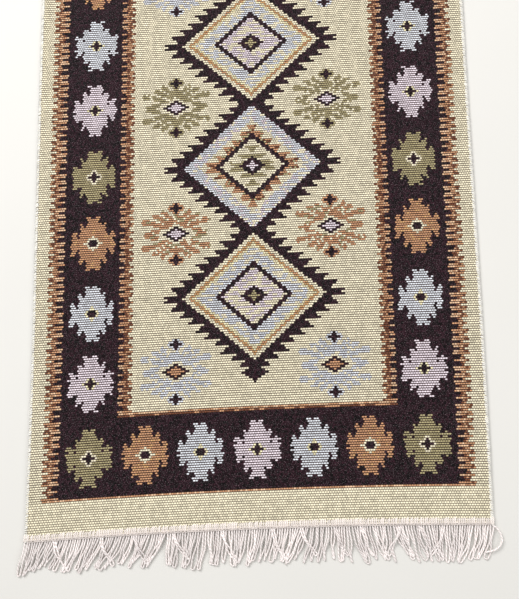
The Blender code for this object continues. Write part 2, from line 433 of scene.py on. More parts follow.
# %% [markdown]
# ### Small beasts
# Between the medallions sit small many-legged figures, 64 mm wide: a coloured eye in maroon and
# cream, legs that spread to all sides, thick feet on most of them, and a blob above and below.
# The legs are strokes, each written by its two ends and half its thickness in mm, for one quarter
# of the figure. The feet are written by their middle, half width and half height.

# %% Small beasts
LEGS = (
    ((0.0, 7.0), (0.0, 22.0), 2.3),
    ((1.0, 11.0), (12.0, 20.5), 2.1),
    ((2.0, 8.0), (19.0, 17.0), 2.2),
    ((8.0, 6.0), (29.0, 13.5), 2.3),
    ((17.0, 3.0), (25.0, 0.8), 2.4),
)
FEET = (((27.2, 12.0), 5.0, 3.4), ((24.4, 0.6), 4.8, 3.2), ((18.4, 17.0), 3.4, 2.2))
EYE_RINGS = ((17.0, 10.4), (13.0, 7.4), (6.6, 4.2))
BLOB_AWAY, BLOB, BLOB_HEART = 24.0, (8.0, 6.4), (5.0, 4.4)


def beast(middle, row, yarn, eye):
    """One figure. Its legs are broken by single floats of cream."""
    aside = beside(middle)
    steps = np.abs(pick - row)
    away = steps * PICK_MM
    body = mixed(0.82, yarn, OLIVE) if yarn == TERRACOTTA else yarn
    broken = mixed(0.90, body, CREAM, single)
    for (x0, y0), (x1, y1), half in LEGS:
        run, rise = x1 - x0, y1 - y0
        along = np.clip(((aside - x0) * run + (away - y0) * rise) / (run * run + rise * rise), 0, 1)
        paint(np.hypot(aside - x0 - along * run, away - y0 - along * rise) < half, broken)
    for (x0, y0), half_width, half_height in FEET:
        paint(np.hypot((aside - x0) / half_width, (away - y0) / half_height) < 1, broken)
    for (half_width, half_height), colour in zip(EYE_RINGS, (CREAM, MAROON, eye)):
        paint(diamond(steps, aside, half_width, half_height), colour)
    for (half_width, half_height), colour in ((BLOB, yarn), (BLOB_HEART, MAROON)):
        paint(aside / half_width + np.abs(away - BLOB_AWAY) / half_height < 1, colour)


BEAST_COLUMN, END_BEAST_ROW, FIRST_BEAST_ROW = 70.4, 68, 130
beast_rows = [END_BEAST_ROW] + [FIRST_BEAST_ROW + MEDALLION_PITCH * i for i in range(6)]
for i, row in enumerate(beast_rows):
    yarn = (SILVER, TERRACOTTA, OLIVE)[i % 3]
    eye = TERRACOTTA if yarn == SILVER else LAVENDER
    for middle in (MIDLINE - BEAST_COLUMN, MIDLINE + BEAST_COLUMN):
        at_both_ends(beast, middle, row, yarn, eye)
print("beasts:", 4 * len(beast_rows))

# %% [markdown]
# ## Yarn colours
# Each float of the paper becomes one face of the cloth with its own colour. No two floats of a
# real yarn look quite the same, so each gets a small change of tone, and each pick another,
# because it was thrown from a different part of the cone. Maroon yarn is the least even of all.
# The fourth value of a colour says how dark the grooves beside the float are painted: partly the
# maroon warp that shows there, and partly painted shade for the shadow in the grooves. On coloured
# yarn this is strong, on cream weaker, and weakest of all at the plain ends. On the back of a
# double-faced cloth the light and dark yarns change places.

# %% Float colours
YARNS = {
    CREAM: ("#fbf2d2", 0.74), MAROON: ("#2a131c", 0.40), TERRACOTTA: ("#cf9c74", 1.00),
    OLIVE: ("#b2a77d", 1.00), SILVER: ("#e4e9ee", 1.00), LAVENDER: ("#efe3ea", 1.00),
    GOLD: ("#d0a370", 0.90), STRAW: ("#f3eabf", 0.85), TAN: ("#e9c29c", 0.95), UMBER: ("#74462f", 0.90),
}
# The yarn behind each of them, in the same order.
BACK_OF = (MAROON, CREAM, SILVER, LAVENDER, TERRACOTTA, OLIVE, SILVER, UMBER, MAROON, CREAM)
FLOAT_CHANGE, PICK_CHANGE, DASH_CHANGE = 0.32, 0.08, 0.10
MAROON_LEAST, MAROON_CHANGE = 0.08, 1.45
# The cream field inside the frame has its own share of groove darkening, warp and painted shade, and a
# slightly lower tone.
FIELD_GROOVE, FIELD_TONE = 0.88, 0.97
yarn_colours = np.array([linear(colour)[:3] + [groove] for colour, groove in YARNS.values()])


def float_colours(sheet):
    """Each square's colour with its small changes, and how dark warp and painted shade make its grooves."""
    colours = yarn_colours[sheet].copy()
    tone = 1 + FLOAT_CHANGE * (single - 0.5) + PICK_CHANGE * (single[:, :1] - 0.5)
    tone = np.where(sheet == MAROON, MAROON_LEAST + MAROON_CHANGE * single, tone)
    dash_tone = 1 + DASH_CHANGE * (dash - 0.5)
    field = (sheet == CREAM) & (from_end > FRAME_START)
    # The grooves of the cream field get their own share of warp and painted shade.
    colours[..., 3] = np.where(field, FIELD_GROOVE, colours[..., 3])
    colours[..., :3] *= (tone * dash_tone * np.where(field, FIELD_TONE, 1.0))[..., None]
    return colours


face_colours = float_colours(paper)
back_colours = float_colours(np.array(BACK_OF)[paper])
print("floats coloured:", face_colours.shape[0] * face_colours.shape[1] // 2)

# %% [markdown]
# ## How the runner lies
# Weft never runs quite square across a loosely woven strip. Here it runs askew, further along on
# the right than on the left, and it is bowed at the ends. The strip also rests with soft swells of
# less than a millimetre. One function moves any point of the flat runner to where it really lies,
# and every piece goes through it, so cloth, edgings and fringe stay together.

# %% Lying
# Skew and bow in mm, each beside its places from the middle of the runner (0) to its end (1).
SKEW_PLACES, SKEW_MM = (0.0, 0.30, 0.93, 1.04), (11.0, 11.0, 6.0, 4.6)
BOW_PLACES, BOW_MM = (0.0, 0.2, 0.45, 0.93, 1.04), (0.0, -1.8, -1.6, 3.5, 4.6)
SWELL_MIDDLE_MM = 0.5


def lay(points):
    """Points of the flat runner, in metres, moved to where the weft's skew and bow put them."""
    x, y, z = np.asarray(points, float).T
    u = x / HALF_WIDTH
    v = np.abs(y) / HALF_LENGTH
    skew = np.interp(v, SKEW_PLACES, SKEW_MM)
    bow = np.sign(y) * np.interp(v, BOW_PLACES, BOW_MM)
    moved_y = y + MM * (skew * u + bow * u * u)
    swell = 0.25 * np.sin(9.0 * x + 3.1 * y) * np.sin(5.3 * y + 1.0)
    swell += 0.15 * np.sin(23.0 * x - 7.0 * y + 2.0)
    swell += 0.10 * np.sin(31.0 * y + 11.0 * x)
    wander = 0.5 * np.sin(7.3 * y + 0.6) + 0.25 * np.sin(17.0 * y + 2.0)
    moved_x = x + MM * wander * np.abs(u)
    return np.stack([moved_x, moved_y, z + MM * (swell + SWELL_MIDDLE_MM)], 1)


print("left front corner lies at", np.round(lay([(-HALF_WIDTH, -HALF_LENGTH, 0)]), 4)[0])

# %% [markdown]
# ## Cloth material
# Soft-spun cotton, jacquard woven. It is matt, with a faint sheen from loose fibres.
# The shader follows the weave by its own map, which counts ends and picks: it paints the groove
# between two picks and the small hole where a float dips under darker, partly as the maroon warp
# that shows there and partly as painted shade for their shadow, lays fine fibre streaks along each
# float, scatters flecks of warp, and swells every float with a bump 0.3 mm high.

# %% Cloth material
# The maroon warp, which also stands in as painted shade in the grooves and dips, and the pale warp of the
# flecks.
WARP_AND_SHADE_MAROON, PALE_WARP = "#453234", "#d8c8cc"
FLOAT_BUMP = 0.3 * MM


def jacquard_cotton():
    """Woven floats, coloured one by one."""
    cloth = bpy.data.materials.new("jacquard_woven_cotton")
    cloth.use_nodes = True
    tree = cloth.node_tree
    shader = tree.nodes["Principled BSDF"]
    shader.inputs["Roughness"].default_value = 0.9
    shader.inputs["Specular IOR Level"].default_value = 0.15
    shader.inputs["Sheen Weight"].default_value = 0.05
    shader.inputs["Sheen Roughness"].default_value = 0.5
    yarn = add(tree, "ShaderNodeAttribute", {"attribute_name": "yarn"})
    weave = add(tree, "ShaderNodeUVMap", {"uv_map": "weave"})
    count = add(tree, "ShaderNodeSeparateXYZ", {}, {0: weave.outputs[0]})
    ends_along, picks_along = count.outputs[0], count.outputs[1]

    # Across a pick: 0 at its middle line and 0.5 at its edges.
    in_pick = add(tree, "ShaderNodeMath", {"operation": "FRACT"}, {0: picks_along})
    pick_side = add(tree, "ShaderNodeMath", {"operation": "SUBTRACT"}, {0: in_pick.outputs[0], 1: 0.5})
    pick_far = add(tree, "ShaderNodeMath", {"operation": "ABSOLUTE"}, {0: pick_side.outputs[0]})

    # Along a float: 0 where it dips under and 1 at its middle. Each pick is shifted by one end.
    pick_count = add(tree, "ShaderNodeMath", {"operation": "FLOOR"}, {0: picks_along})
    staggered = add(tree, "ShaderNodeMath", {"operation": "ADD"}, {
        0: ends_along, 1: pick_count.outputs[0],
    })
    in_float = add(tree, "ShaderNodeMath", {"operation": "PINGPONG"}, {0: staggered.outputs[0], 1: 1.0})
    # The groove between two picks gets wider where a float tapers towards its dip.
    short_of = add(tree, "ShaderNodeMath", {"operation": "SUBTRACT"}, {0: 1.0, 1: in_float.outputs[0]})
    short_round = add(tree, "ShaderNodeMath", {"operation": "POWER"}, {0: short_of.outputs[0], 1: 2.5})
    tapered = add(tree, "ShaderNodeMath", {"operation": "MULTIPLY_ADD"}, {
        0: short_round.outputs[0], 1: 0.20, 2: pick_far.outputs[0],
    })
    groove = add(tree, "ShaderNodeMapRange", {"interpolation_type": "SMOOTHSTEP"}, {
        0: tapered.outputs[0], 1: 0.17, 2: 0.40,
    })
    dip = add(tree, "ShaderNodeMapRange", {"interpolation_type": "SMOOTHSTEP"}, {
        0: in_float.outputs[0], 1: 0.40, 2: 0.02,
    })

    # Fibres are drawn out along the float, and a slow change of tone runs over many picks.
    stretched = add(tree, "ShaderNodeMapping", {}, {0: weave.outputs[0], "Scale": (0.9, 6.0, 1.0)})
    fibres = add(tree, "ShaderNodeTexNoise", {}, {
        0: stretched.outputs[0], "Scale": 1.6, "Detail": 3.0, "Roughness": 0.6,
    })
    uneven = add(tree, "ShaderNodeTexNoise", {}, {0: weave.outputs[0], "Scale": 0.11, "Detail": 2.0})

    # The yarn's fourth value sets how dark its grooves are painted, with warp and painted shade. The dips
    # of pale yarn are painted the darker.
    groove_dark = add(tree, "ShaderNodeMath", {"operation": "MULTIPLY"}, {
        0: groove.outputs[0], 1: yarn.outputs["Alpha"],
    })
    dip_share = add(tree, "ShaderNodeMath", {"operation": "MULTIPLY_ADD"}, {
        0: yarn.outputs["Alpha"], 1: -0.8, 2: 1.5,
    })
    dip_dark = add(tree, "ShaderNodeMath", {"operation": "MULTIPLY", "use_clamp": True}, {
        0: dip.outputs[0], 1: dip_share.outputs[0],
    })
    dark = add(tree, "ShaderNodeMath", {"operation": "MAXIMUM"}, {
        0: groove_dark.outputs[0], 1: dip_dark.outputs[0],
    })
    fibre_tone = add(tree, "ShaderNodeMapRange", {}, {
        0: fibres.outputs["Fac"], 1: 0.25, 2: 0.75, 3: 0.80, 4: 1.16,
    })
    cloth_tone = add(tree, "ShaderNodeMapRange", {}, {
        0: uneven.outputs["Fac"], 1: 0.3, 2: 0.7, 3: 0.95, 4: 1.05,
    })
    tone = add(tree, "ShaderNodeMath", {"operation": "MULTIPLY"}, {
        0: fibre_tone.outputs[0], 1: cloth_tone.outputs[0],
    })
    toned = add(tree, "ShaderNodeVectorMath", {"operation": "SCALE"}, {
        0: yarn.outputs["Color"], "Scale": tone.outputs[0],
    })
    # The warp's colour over the float's: the grooves and dips get it as part warp and part painted shade,
    # the dark flecks as warp.
    warp_and_shade = add(tree, "ShaderNodeMix", {"data_type": "RGBA", "blend_type": "MULTIPLY"}, {
        0: 1.0, 6: toned.outputs[0], 7: linear(WARP_AND_SHADE_MAROON),
    })
    woven_with_shade = add(tree, "ShaderNodeMix", {"data_type": "RGBA"}, {
        0: dark.outputs[0], 6: toned.outputs[0], 7: warp_and_shade.outputs[2],
    })

    # Flecks of warp come through here and there, some pale and some dark.
    fleck_map = add(tree, "ShaderNodeMapping", {}, {0: weave.outputs[0], "Scale": (1.1, 2.0, 1.0)})
    fleck = add(tree, "ShaderNodeTexNoise", {}, {0: fleck_map.outputs[0], "Scale": 1.3, "Detail": 1.0})
    pale_part = add(tree, "ShaderNodeMapRange", {"interpolation_type": "SMOOTHSTEP"}, {
        0: fleck.outputs["Fac"], 1: 0.58, 2: 0.72, 4: 0.18,
    })
    dark_part = add(tree, "ShaderNodeMapRange", {"interpolation_type": "SMOOTHSTEP"}, {
        0: fleck.outputs["Fac"], 1: 0.42, 2: 0.28, 4: 0.30,
    })
    paled = add(tree, "ShaderNodeMix", {"data_type": "RGBA"}, {
        0: pale_part.outputs[0], 6: woven_with_shade.outputs[2], 7: linear(PALE_WARP),
    })
    flecked = add(tree, "ShaderNodeMix", {"data_type": "RGBA"}, {
        0: dark_part.outputs[0], 6: paled.outputs[2], 7: warp_and_shade.outputs[2],
    })
    tree.links.new(flecked.outputs[2], shader.inputs["Base Color"])

    # Each float is round across its pick and lower where it dips.
    pick_round = add(tree, "ShaderNodeMath", {"operation": "POWER"}, {0: pick_far.outputs[0], 1: 2.0})
    pick_height = add(tree, "ShaderNodeMath", {"operation": "MULTIPLY_ADD"}, {
        0: pick_round.outputs[0], 1: -3.2, 2: 1.0,
    })
    dip_height = add(tree, "ShaderNodeMath", {"operation": "MULTIPLY_ADD"}, {
        0: dip.outputs[0], 1: -0.5, 2: pick_height.outputs[0],
    })
    height = add(tree, "ShaderNodeMath", {"operation": "MULTIPLY_ADD"}, {
        0: fibres.outputs["Fac"], 1: 0.5, 2: dip_height.outputs[0],
    })
    bump = add(tree, "ShaderNodeBump", {}, {
        "Strength": 0.8, "Distance": FLOAT_BUMP, "Height": height.outputs[0],
    })
    tree.links.new(bump.outputs[0], shader.inputs["Normal"])
    return cloth


cloth_material = jacquard_cotton()
print(cloth_material.name, len(cloth_material.node_tree.nodes), "nodes")

# %% [markdown]
# ## Cloth
# The cloth is a closed sheet with a grid of one face for each end and pick on its face side, and
# one for two ends on its back. Single points stand up or down by a few hundredths of a
# millimetre, as uneven yarn does. It ends a little inside the outline, because the edgings wrap
# its edges. It is cut into six lengths that meet without a gap, to keep each mesh light. The
# first and the last cross the lines where the runner bends.

# %% A mesh from arrays
def mesh_from(name, points, faces):
    """A mesh from an array of points and a list of arrays of faces, each of one corner count."""
    mesh = bpy.data.meshes.new(name)
    corners = np.concatenate([block.ravel() for block in faces]).astype(np.int32)
    sizes = np.concatenate([np.full(len(block), block.shape[1]) for block in faces])
    starts = np.concatenate([[0], np.cumsum(sizes)[:-1]]).astype(np.int32)
    mesh.vertices.add(len(points))
    mesh.vertices.foreach_set("co", np.ascontiguousarray(points, np.float32).ravel())
    mesh.loops.add(len(corners))
    mesh.loops.foreach_set("vertex_index", corners)
    mesh.polygons.add(len(sizes))
    mesh.polygons.foreach_set("loop_start", starts)
    mesh.update(calc_edges=True)
    mesh.validate()
    return mesh


def show(name, mesh, material):
    """An object at the origin that holds the mesh with its material."""
    mesh.materials.clear()
    mesh.materials.append(material)
    thing = bpy.data.objects.new(name, mesh)
    bpy.context.scene.collection.objects.link(thing)
    return thing


# %% One length of cloth
CLOTH_LIFT = 0.1 * MM
CLOTH_INSET = 1.3 * MM
UNEVEN_YARN = 0.035 * MM
SHARP_ANGLE = math.radians(60)
LENGTH_CUTS = (0, 153, 306, 460, 614, 767, PICKS)


def colour_floats(mesh, first, last):
    """Every face's colour: its own float's on the face side, every second end's on the back."""
    rim = np.tile(yarn_colours[CREAM], (2 * (last - first) + ENDS, 1))
    colours = np.concatenate([
        face_colours[first:last].reshape(-1, 4), back_colours[first:last, ::2].reshape(-1, 4), rim,
    ])
    layer = mesh.attributes.new("yarn", "FLOAT_COLOR", "FACE")
    layer.data.foreach_set("color", colours.astype(np.float32).ravel())


def map_weave(mesh, first, rows):
    """A map that counts ends and picks at each corner of a face."""
    face_ends, back_ends = np.arange(ENDS + 1), np.arange(0, ENDS + 1, 2)
    picks = first + np.arange(rows + 1)
    ends_at = np.concatenate([np.tile(face_ends, rows + 1), np.tile(back_ends, rows + 1)])
    picks_at = np.concatenate([np.repeat(picks, len(face_ends)), np.repeat(picks, len(back_ends))])
    corner = np.zeros(len(mesh.loops), np.int32)
    mesh.loops.foreach_get("vertex_index", corner)
    weave = mesh.uv_layers.new(name="weave")
    pairs = np.stack([ends_at[corner], picks_at[corner]], 1)
    weave.data.foreach_set("uv", pairs.astype(np.float32).ravel())


def cloth_length(name, first, last):
    """Cloth from one pick to another. The face side has every end, and the back every second."""
    rows = last - first
    shrink = (HALF_WIDTH - CLOTH_INSET) / HALF_WIDTH
    columns = (np.arange(ENDS + 1) / ENDS * 2 - 1) * HALF_WIDTH * shrink
    lines = -HALF_LENGTH + (first + np.arange(rows + 1)) * PICK_MM * MM
    lines = np.clip(lines, -HALF_LENGTH + CLOTH_INSET, HALF_LENGTH - CLOTH_INSET)
    bumps = np.random.default_rng(first + 1).normal(0, UNEVEN_YARN, (rows + 1, ENDS + 1))
    # The first and the last line stay level, so that two lengths meet without a gap.
    bumps[[0, -1]] = 0
    top = np.stack([*np.broadcast_arrays(columns[None, :], lines[:, None], 0.0)], 2).copy()
    top[..., 2] = CLOTH_TOP + bumps
    bottom = top[:, ::2].copy()
    bottom[..., 2] = CLOTH_LIFT
    points = np.concatenate([top.reshape(-1, 3), bottom.reshape(-1, 3)])
    t = np.arange((rows + 1) * (ENDS + 1)).reshape(rows + 1, ENDS + 1)
    b = t.size + np.arange((rows + 1) * (ENDS // 2 + 1)).reshape(rows + 1, ENDS // 2 + 1)
    # The face side, the back, the two long sides and the two short ones.
    faces = [
        np.stack([t[:-1, :-1], t[:-1, 1:], t[1:, 1:], t[1:, :-1]], 2).reshape(-1, 4),
        np.stack([b[:-1, :-1], b[1:, :-1], b[1:, 1:], b[:-1, 1:]], 2).reshape(-1, 4),
        np.stack([t[:-1, 0], t[1:, 0], b[1:, 0], b[:-1, 0]], 1),
        np.stack([t[:-1, -1], b[:-1, -1], b[1:, -1], t[1:, -1]], 1),
        np.stack([t[0, 2::2], t[0, 1::2], t[0, :-2:2], b[0, :-1], b[0, 1:]], 1),
        np.stack([t[-1, :-2:2], t[-1, 1::2], t[-1, 2::2], b[-1, 1:], b[-1, :-1]], 1),
    ]
    mesh = mesh_from(name, lay(points), faces)
    colour_floats(mesh, first, last)
    map_weave(mesh, first, rows)
    mesh.polygons.foreach_set("use_smooth", np.ones(len(mesh.polygons), bool))
    mesh.set_sharp_from_angle(angle=SHARP_ANGLE)
    return show(name, mesh, cloth_material)


cloths = []
for number, (first, last) in enumerate(zip(LENGTH_CUTS, LENGTH_CUTS[1:]), 1):
    cloths.append(cloth_length(f"cloth_length_{number}", first, last))
print("cloth faces:", sum(len(cloth.data.polygons) for cloth in cloths))

# %% [markdown]
# ## Yarn materials
# The edgings and the fringe are two-ply cotton: two strands twisted round each other, matt and
# nearly white, whose twist shows as a slanting line. Every strand's mesh carries an attribute
# with the cosine and sine of twice the angle round the yarn and the length along it in mm. The
# shader turns them into a spiral groove that has no seam, paints shade into it as a darker colour,
# raises the plies with a bump and speckles them as fine fibres do.

# %% Yarn material
def cotton_yarn(name, light, shade, twist_mm, depth_mm):
    """Two-ply cotton with one turn of its spiral in twist_mm."""
    yarn = bpy.data.materials.new(name)
    yarn.use_nodes = True
    tree = yarn.node_tree
    shader = tree.nodes["Principled BSDF"]
    shader.inputs["Roughness"].default_value = 0.88
    shader.inputs["Specular IOR Level"].default_value = 0.3
    shader.inputs["Sheen Weight"].default_value = 0.2
    ply = add(tree, "ShaderNodeAttribute", {"attribute_name": "ply"})
    tone = add(tree, "ShaderNodeAttribute", {"attribute_name": "tone"})
    part = add(tree, "ShaderNodeSeparateXYZ", {}, {0: ply.outputs["Vector"]})
    turn = add(tree, "ShaderNodeMath", {"operation": "MULTIPLY"}, {
        0: part.outputs[2], 1: 2 * math.pi / twist_mm,
    })
    cosine = add(tree, "ShaderNodeMath", {"operation": "COSINE"}, {0: turn.outputs[0]})
    sine = add(tree, "ShaderNodeMath", {"operation": "SINE"}, {0: turn.outputs[0]})
    first = add(tree, "ShaderNodeMath", {"operation": "MULTIPLY"}, {
        0: part.outputs[0], 1: cosine.outputs[0],
    })
    second = add(tree, "ShaderNodeMath", {"operation": "MULTIPLY"}, {
        0: part.outputs[1], 1: sine.outputs[0],
    })
    spiral = add(tree, "ShaderNodeMath", {"operation": "SUBTRACT"}, {
        0: first.outputs[0], 1: second.outputs[0],
    })
    place = add(tree, "ShaderNodeTexCoord")
    fibres = add(tree, "ShaderNodeTexNoise", {}, {
        "Vector": place.outputs["Object"], "Scale": 900.0, "Detail": 3.0, "Roughness": 0.65,
    })
    body = add(tree, "ShaderNodeMapRange", {"interpolation_type": "SMOOTHSTEP"}, {
        0: spiral.outputs[0], 1: -0.95, 2: 0.1,
    })
    pale = add(tree, "ShaderNodeMapRange", {}, {0: tone.outputs["Fac"], 1: 0.0, 2: 1.0, 3: 0.86, 4: 1.06})
    speckle = add(tree, "ShaderNodeMapRange", {}, {
        0: fibres.outputs["Fac"], 1: 0.3, 2: 0.7, 3: 0.88, 4: 1.06,
    })
    change = add(tree, "ShaderNodeMath", {"operation": "MULTIPLY"}, {
        0: pale.outputs[0], 1: speckle.outputs[0],
    })
    # The spiral groove between the plies gets the painted shade colour, the plies the light one.
    mix = add(tree, "ShaderNodeMix", {"data_type": "RGBA"}, {
        0: body.outputs[0], 6: linear(shade), 7: linear(light),
    })
    toned = add(tree, "ShaderNodeVectorMath", {"operation": "SCALE"}, {
        0: mix.outputs[2], "Scale": change.outputs[0],
    })
    tree.links.new(toned.outputs[0], shader.inputs["Base Color"])
    height = add(tree, "ShaderNodeMath", {"operation": "MULTIPLY_ADD"}, {
        0: fibres.outputs["Fac"], 1: 0.6, 2: body.outputs[0],
    })
    bump = add(tree, "ShaderNodeBump", {}, {
        "Strength": 0.7, "Distance": depth_mm * MM, "Height": height.outputs[0],
    })
    tree.links.new(bump.outputs[0], shader.inputs["Normal"])
    return yarn


# Each yarn: its colour on the plies, and the darker colour painted as shade in its spiral groove.
overlock_yarn = cotton_yarn("spun_overlock_yarn", "#f6f4ee", "#c9c4b8", 1.6, 0.12)
heading_yarn = cotton_yarn("overcast_heading_cotton", "#f4ebe4", "#bfb0a8", 1.8, 0.12)
chain_thread = cotton_yarn("chain_stitch_thread", "#f0e6e0", "#b5a59e", 1.2, 0.10)
fringe_cotton = cotton_yarn("twisted_fringe_cotton", "#fbf3f0", "#c4b5b0", 3.4, 0.15)
print("yarn materials: 4")

# %% [markdown]
# ## A strand
# Stitches and cords are all short lengths of yarn, so one function sweeps a small ring along a
# path of points and gives it the attribute that the yarn material reads. A stitch has a few dozen
# faces, because hundreds of copies of it follow.

# %% Strand
# No strand runs along this direction, so the ring round any strand is turned by it.
NEVER_AHEAD = np.array((0.23, 0.91, 0.35))
END_TAPER = 0.55


def strand(path, radius, sides=5):
    """Points, faces and ply values of a closed tube along the path, all in metres."""
    path = np.asarray(path, float)
    ahead = np.gradient(path, axis=0)
    ahead /= np.linalg.norm(ahead, axis=1)[:, None]
    up = np.cross(NEVER_AHEAD, ahead)
    up /= np.linalg.norm(up, axis=1)[:, None]
    out = np.cross(ahead, up)
    angle = 2 * np.pi * np.arange(sides) / sides
    taper = np.ones(len(path))
    taper[[0, -1]] = END_TAPER
    ring = up[:, None] * np.cos(angle)[None, :, None] + out[:, None] * np.sin(angle)[None, :, None]
    points = path[:, None] + ring * (radius * taper)[:, None, None]
    index = np.arange(len(path) * sides).reshape(len(path), sides)
    turned = np.roll(index, -1, 1)
    quads = np.stack([index[:-1], turned[:-1], turned[1:], index[1:]], 2).reshape(-1, 4)
    caps = np.stack([index[0, ::-1], index[-1]])
    length = np.concatenate([[0], np.cumsum(np.linalg.norm(np.diff(path, axis=0), axis=1))])
    cosine, sine = np.cos(2 * angle)[None], np.sin(2 * angle)[None]
    ply = np.stack([*np.broadcast_arrays(cosine, sine, 1000 * length[:, None])], 2)
    return points.reshape(-1, 3), [quads, caps], ply.reshape(-1, 3)


def stitch_object(name, path, radius, sides=5):
    """One stitch as an object, for a row of copies."""
    points, faces, ply = strand(path, radius, sides)
    mesh = mesh_from(name, points, faces)
    layer = mesh.attributes.new("ply", "FLOAT_VECTOR", "POINT")
    layer.data.foreach_set("vector", ply.astype(np.float32).ravel())
    mesh.polygons.foreach_set("use_smooth", np.ones(len(mesh.polygons), bool))
    thing = bpy.data.objects.new(name, mesh)
    bpy.context.scene.collection.objects.link(thing)
    return thing


print("a stitch of 7 points has", len(strand(np.random.default_rng(1).random((7, 3)), 0.1)[1][0]), "sides")

# %% [markdown]
# ## Rows of stitches
# An overlocked edge, an overcast heading and a line of chain stitch are each one stitch repeated
# at an even step, a little differently each time. That is work for Geometry Nodes: a mesh line
# places the points, the stitch is set on each with a small random turn and size, each copy keeps
# a random tone, and the copies are realised into one mesh.

# %% Stitch row tree
def stitch_row_tree():
    """The node tree, and its inputs' identifiers by name."""
    tree = bpy.data.node_groups.new("row_of_stitches", "GeometryNodeTree")
    tree.interface.new_socket("Stitch", in_out="INPUT", socket_type="NodeSocketGeometry")
    inputs = {}
    for name, kind in (
        ("Stitches", "NodeSocketInt"), ("First", "NodeSocketVector"), ("Step", "NodeSocketVector"),
        ("Turn", "NodeSocketFloat"), ("Wander", "NodeSocketFloat"), ("Seed", "NodeSocketInt"),
        ("Yarn", "NodeSocketMaterial"),
    ):
        inputs[name] = tree.interface.new_socket(name, in_out="INPUT", socket_type=kind).identifier
    tree.interface.new_socket("Row", in_out="OUTPUT", socket_type="NodeSocketGeometry")
    given = add(tree, "NodeGroupInput").outputs
    line = add(tree, "GeometryNodeMeshLine", {"mode": "OFFSET"}, {
        "Count": given["Stitches"], "Start Location": given["First"], "Offset": given["Step"],
    })
    less = add(tree, "ShaderNodeMath", {"operation": "MULTIPLY"}, {0: given["Wander"], 1: -1.0})
    low = add(tree, "ShaderNodeCombineXYZ", {}, {
        0: less.outputs[0], 1: less.outputs[0], 2: less.outputs[0],
    })
    high = add(tree, "ShaderNodeCombineXYZ", {}, {
        0: given["Wander"], 1: given["Wander"], 2: given["Wander"],
    })
    nudge = add(tree, "FunctionNodeRandomValue", {"data_type": "FLOAT_VECTOR"}, {
        "Min": low.outputs[0], "Max": high.outputs[0], "Seed": given["Seed"],
    })
    moved = add(tree, "GeometryNodeSetPosition", {}, {
        "Geometry": line.outputs[0], "Offset": nudge.outputs[0],
    })
    back = add(tree, "ShaderNodeMath", {"operation": "MULTIPLY"}, {0: given["Turn"], 1: -1.0})
    turn = add(tree, "FunctionNodeRandomValue", {"data_type": "FLOAT"}, {
        2: back.outputs[0], 3: given["Turn"], "Seed": given["Seed"],
    })
    angles = add(tree, "ShaderNodeCombineXYZ", {}, {2: turn.outputs[1]})
    size = add(tree, "FunctionNodeRandomValue", {"data_type": "FLOAT"}, {
        2: 0.93, 3: 1.07, "Seed": given["Seed"],
    })
    copies = add(tree, "GeometryNodeInstanceOnPoints", {}, {
        "Points": moved.outputs[0], "Instance": given["Stitch"], "Rotation": angles.outputs[0],
        "Scale": size.outputs[1],
    })
    tone = add(tree, "FunctionNodeRandomValue", {"data_type": "FLOAT"}, {
        2: 0.0, 3: 1.0, "Seed": given["Seed"],
    })
    toned = add(tree, "GeometryNodeStoreNamedAttribute", {"data_type": "FLOAT", "domain": "INSTANCE"}, {
        "Geometry": copies.outputs[0], "Name": "tone", "Value": tone.outputs[1],
    })
    real = add(tree, "GeometryNodeRealizeInstances", {}, {0: toned.outputs[0]})
    dyed = add(tree, "GeometryNodeSetMaterial", {}, {
        "Geometry": real.outputs[0], "Material": given["Yarn"],
    })
    add(tree, "NodeGroupOutput", {}, {0: dyed.outputs[0]})
    return tree, inputs


row_tree, row_inputs = stitch_row_tree()


def plain_mesh(thing, name):
    """The evaluated mesh of an object with a live tree, laid where the runner lies. The object goes."""
    graph = bpy.context.evaluated_depsgraph_get()
    mesh = bpy.data.meshes.new_from_object(thing.evaluated_get(graph))
    mesh.name = name
    points = np.empty(len(mesh.vertices) * 3, np.float32)
    mesh.vertices.foreach_get("co", points)
    mesh.vertices.foreach_set("co", lay(points.reshape(-1, 3)).astype(np.float32).ravel())
    mesh.update()
    bpy.data.objects.remove(thing)
    return mesh


def stitch_row(name, path, radius, values, material):
    """A row of one stitch as a finished object."""
    thing = stitch_object(name + "_stitch", path, radius)
    modifier = thing.modifiers.new("row", "NODES")
    modifier.node_group = row_tree
    for key, value in {**values, "Yarn": material}.items():
        modifier[row_inputs[key]] = value
    return show(name, plain_mesh(thing, name), material)


print("row tree:", len(row_tree.nodes), "nodes,", ", ".join(row_inputs))

# %% [markdown]
# ## Overlocked edges
# Each long edge is bound by white yarn that goes over the edge about every 1.6 mm. The loop lies
# slanting on the face side, goes round the edge and back along the underside. The stitch is that
# loop, and one row of it is made for each length of cloth, with its step stretched or squeezed a
# little so that the rows join without a gap.

# %% Overlock
OVERLOCK_YARN = 0.66 * MM
OVERLOCK_STEP = 1.6 * MM


def overlock_path(side):
    """The loop over the edge at -X or +X, counted from the edge."""
    outer = -OVERLOCK_YARN
    inner = -OVERLOCK_WIDTH
    top = OVERLOCK_TOP - OVERLOCK_YARN + 0.2 * MM
    low = OVERLOCK_YARN * 0.75
    middle = (top + low) / 2
    points = (
        (inner, 1.3, top - 0.5 * MM),
        (inner + 0.9 * MM, 0.9, top + 0.02 * MM),
        (outer - 0.6 * MM, 0.3, top),
        (outer + 0.1 * MM, 0.0, middle + 0.3 * MM),
        (outer - 0.1 * MM, -0.1, low + 0.25 * MM),
        (outer - 0.8 * MM, -0.3, low),
        (inner + 0.6 * MM, -0.5, low),
    )
    return [(side * x, y * MM, z) for x, y, z in points]


